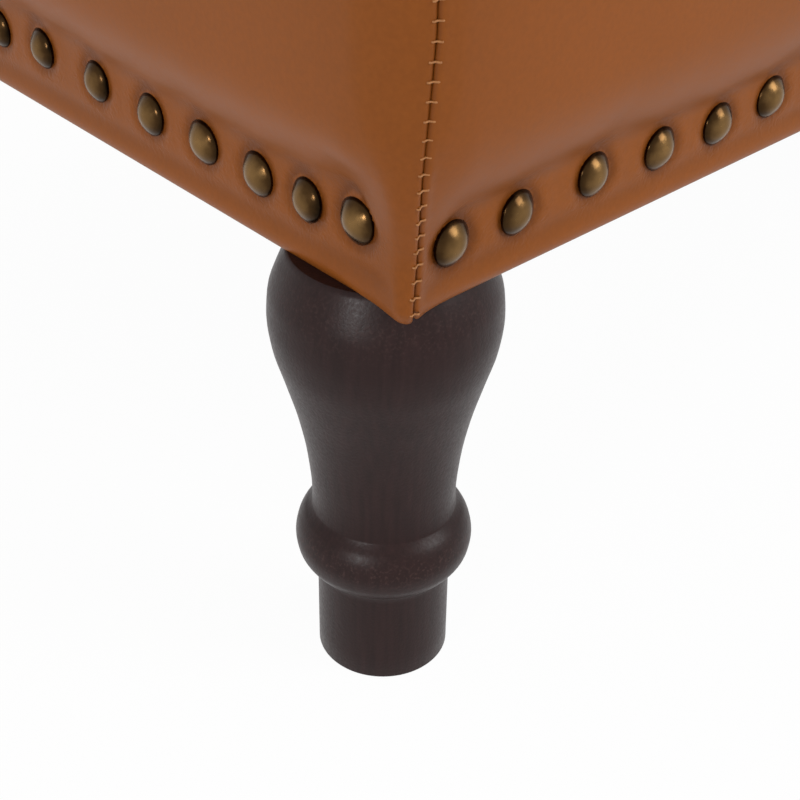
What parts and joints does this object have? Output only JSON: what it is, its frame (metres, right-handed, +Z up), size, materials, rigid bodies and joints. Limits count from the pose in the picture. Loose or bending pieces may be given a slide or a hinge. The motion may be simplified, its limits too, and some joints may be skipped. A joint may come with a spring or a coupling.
{
  "type": "tufted storage bench",
  "caption": "Storage bench with a hinged button-tufted lid on gas struts, padded leather sides trimmed with a row of brass nails, and turned dark wooden legs.",
  "frame": {"origin": "on the floor under the middle of the bench", "axes": "+X along the bench, -Y the front, +Z up"},
  "size_m": [1.084, 0.444, 0.45],
  "materials": {
    "leather": "satin",
    "leg_lacquer": "satin",
    "plywood": "matte",
    "antique_brass": "satin",
    "foam": "matte",
    "lining": "matte",
    "dust_cloth": "matte",
    "twine": "matte",
    "nylon": "matte",
    "bumper_rubber": "matte",
    "black_steel": "satin",
    "chromed_rod": "polished",
    "zinc_steel": "satin"
  },
  "bodies": {
    "base": {"back_cover": "leather", "back_foam": "foam", "back_panel": "plywood", "box_hardware_screws": "zinc_steel", "corner_block_back_left": "plywood", "corner_block_back_right": "plywood", "corner_block_front_left": "plywood", "corner_block_front_right": "plywood", "corner_posts": "plywood", "dust_cover": "dust_cloth", "floor_board": "plywood", "floor_cleat_back": "plywood", "floor_cleat_front": "plywood", "foot_glides": "nylon", "front_cover": "leather", "front_foam": "foam", "front_panel": "plywood", "hanger_bolts": "zinc_steel", "hinge_box_leaf_left": "zinc_steel", "hinge_box_leaf_middle": "zinc_steel", "hinge_box_leaf_right": "zinc_steel", "hinge_pins": "zinc_steel", "left_cover": "leather", "left_end_panel": "plywood", "left_foam": "foam", "leg_back_left": "leg_lacquer", "leg_back_right": "leg_lacquer", "leg_front_left": "leg_lacquer", "leg_front_right": "leg_lacquer", "leg_inserts": "zinc_steel", "nailheads_back": "antique_brass", "nailheads_front": "antique_brass", "nailheads_left": "antique_brass", "nailheads_right": "antique_brass", "right_cover": "leather", "right_end_panel": "plywood", "right_foam": "foam", "storage_lining": "lining", "strut_bracket_box_left": "zinc_steel", "strut_bracket_box_right": "zinc_steel"},
    "lid": {"hinge_lid_leaf_left": "zinc_steel", "hinge_lid_leaf_middle": "zinc_steel", "hinge_lid_leaf_right": "zinc_steel", "lid_board": "plywood", "lid_bumpers": "bumper_rubber", "lid_cover": "leather", "lid_foam": "foam", "lid_hardware_screws": "zinc_steel", "lid_lining": "lining", "strut_bracket_lid_left": "zinc_steel", "strut_bracket_lid_right": "zinc_steel", "tuft_buttons": "leather", "tuft_twines": "twine"},
    "strut_tube_left": {"strut_tube_left": "black_steel"},
    "strut_rod_left": {"strut_rod_left": "chromed_rod"},
    "strut_tube_right": {"strut_tube_right": "black_steel"},
    "strut_rod_right": {"strut_rod_right": "chromed_rod"}
  },
  "joints": [
    {"name": "lid_hinge", "type": "hinge", "parent": "base", "child": "lid", "pos_m": [0, 0.216, 0.347], "axis": [-1, 0, 0], "range_deg": [0, 80]},
    {"name": "strut_tube_left_pivot", "type": "hinge", "parent": "base", "child": "strut_tube_left", "pos_m": [-0.504, 0.158, 0.1872], "axis": [-1, 0, 0], "range_deg": [0, 40]},
    {"name": "strut_rod_left_pivot", "type": "hinge", "parent": "lid", "child": "strut_rod_left", "pos_m": [-0.504, 0.04642, 0.335], "axis": [-1, 0, 0], "range_deg": [-40, 0]},
    {"name": "strut_tube_right_pivot", "type": "hinge", "parent": "base", "child": "strut_tube_right", "pos_m": [0.504, 0.158, 0.1872], "axis": [-1, 0, 0], "range_deg": [0, 40]},
    {"name": "strut_rod_right_pivot", "type": "hinge", "parent": "lid", "child": "strut_rod_right", "pos_m": [0.504, 0.04642, 0.335], "axis": [-1, 0, 0], "range_deg": [-40, 0]}
  ],
  "couplings": [
    {"joint": "strut_tube_left_pivot", "follows": "lid_hinge", "ratio": 0.5},
    {"joint": "strut_rod_left_pivot", "follows": "lid_hinge", "ratio": -0.5},
    {"joint": "strut_tube_right_pivot", "follows": "lid_hinge", "ratio": 0.5},
    {"joint": "strut_rod_right_pivot", "follows": "lid_hinge", "ratio": -0.5}
  ]
}
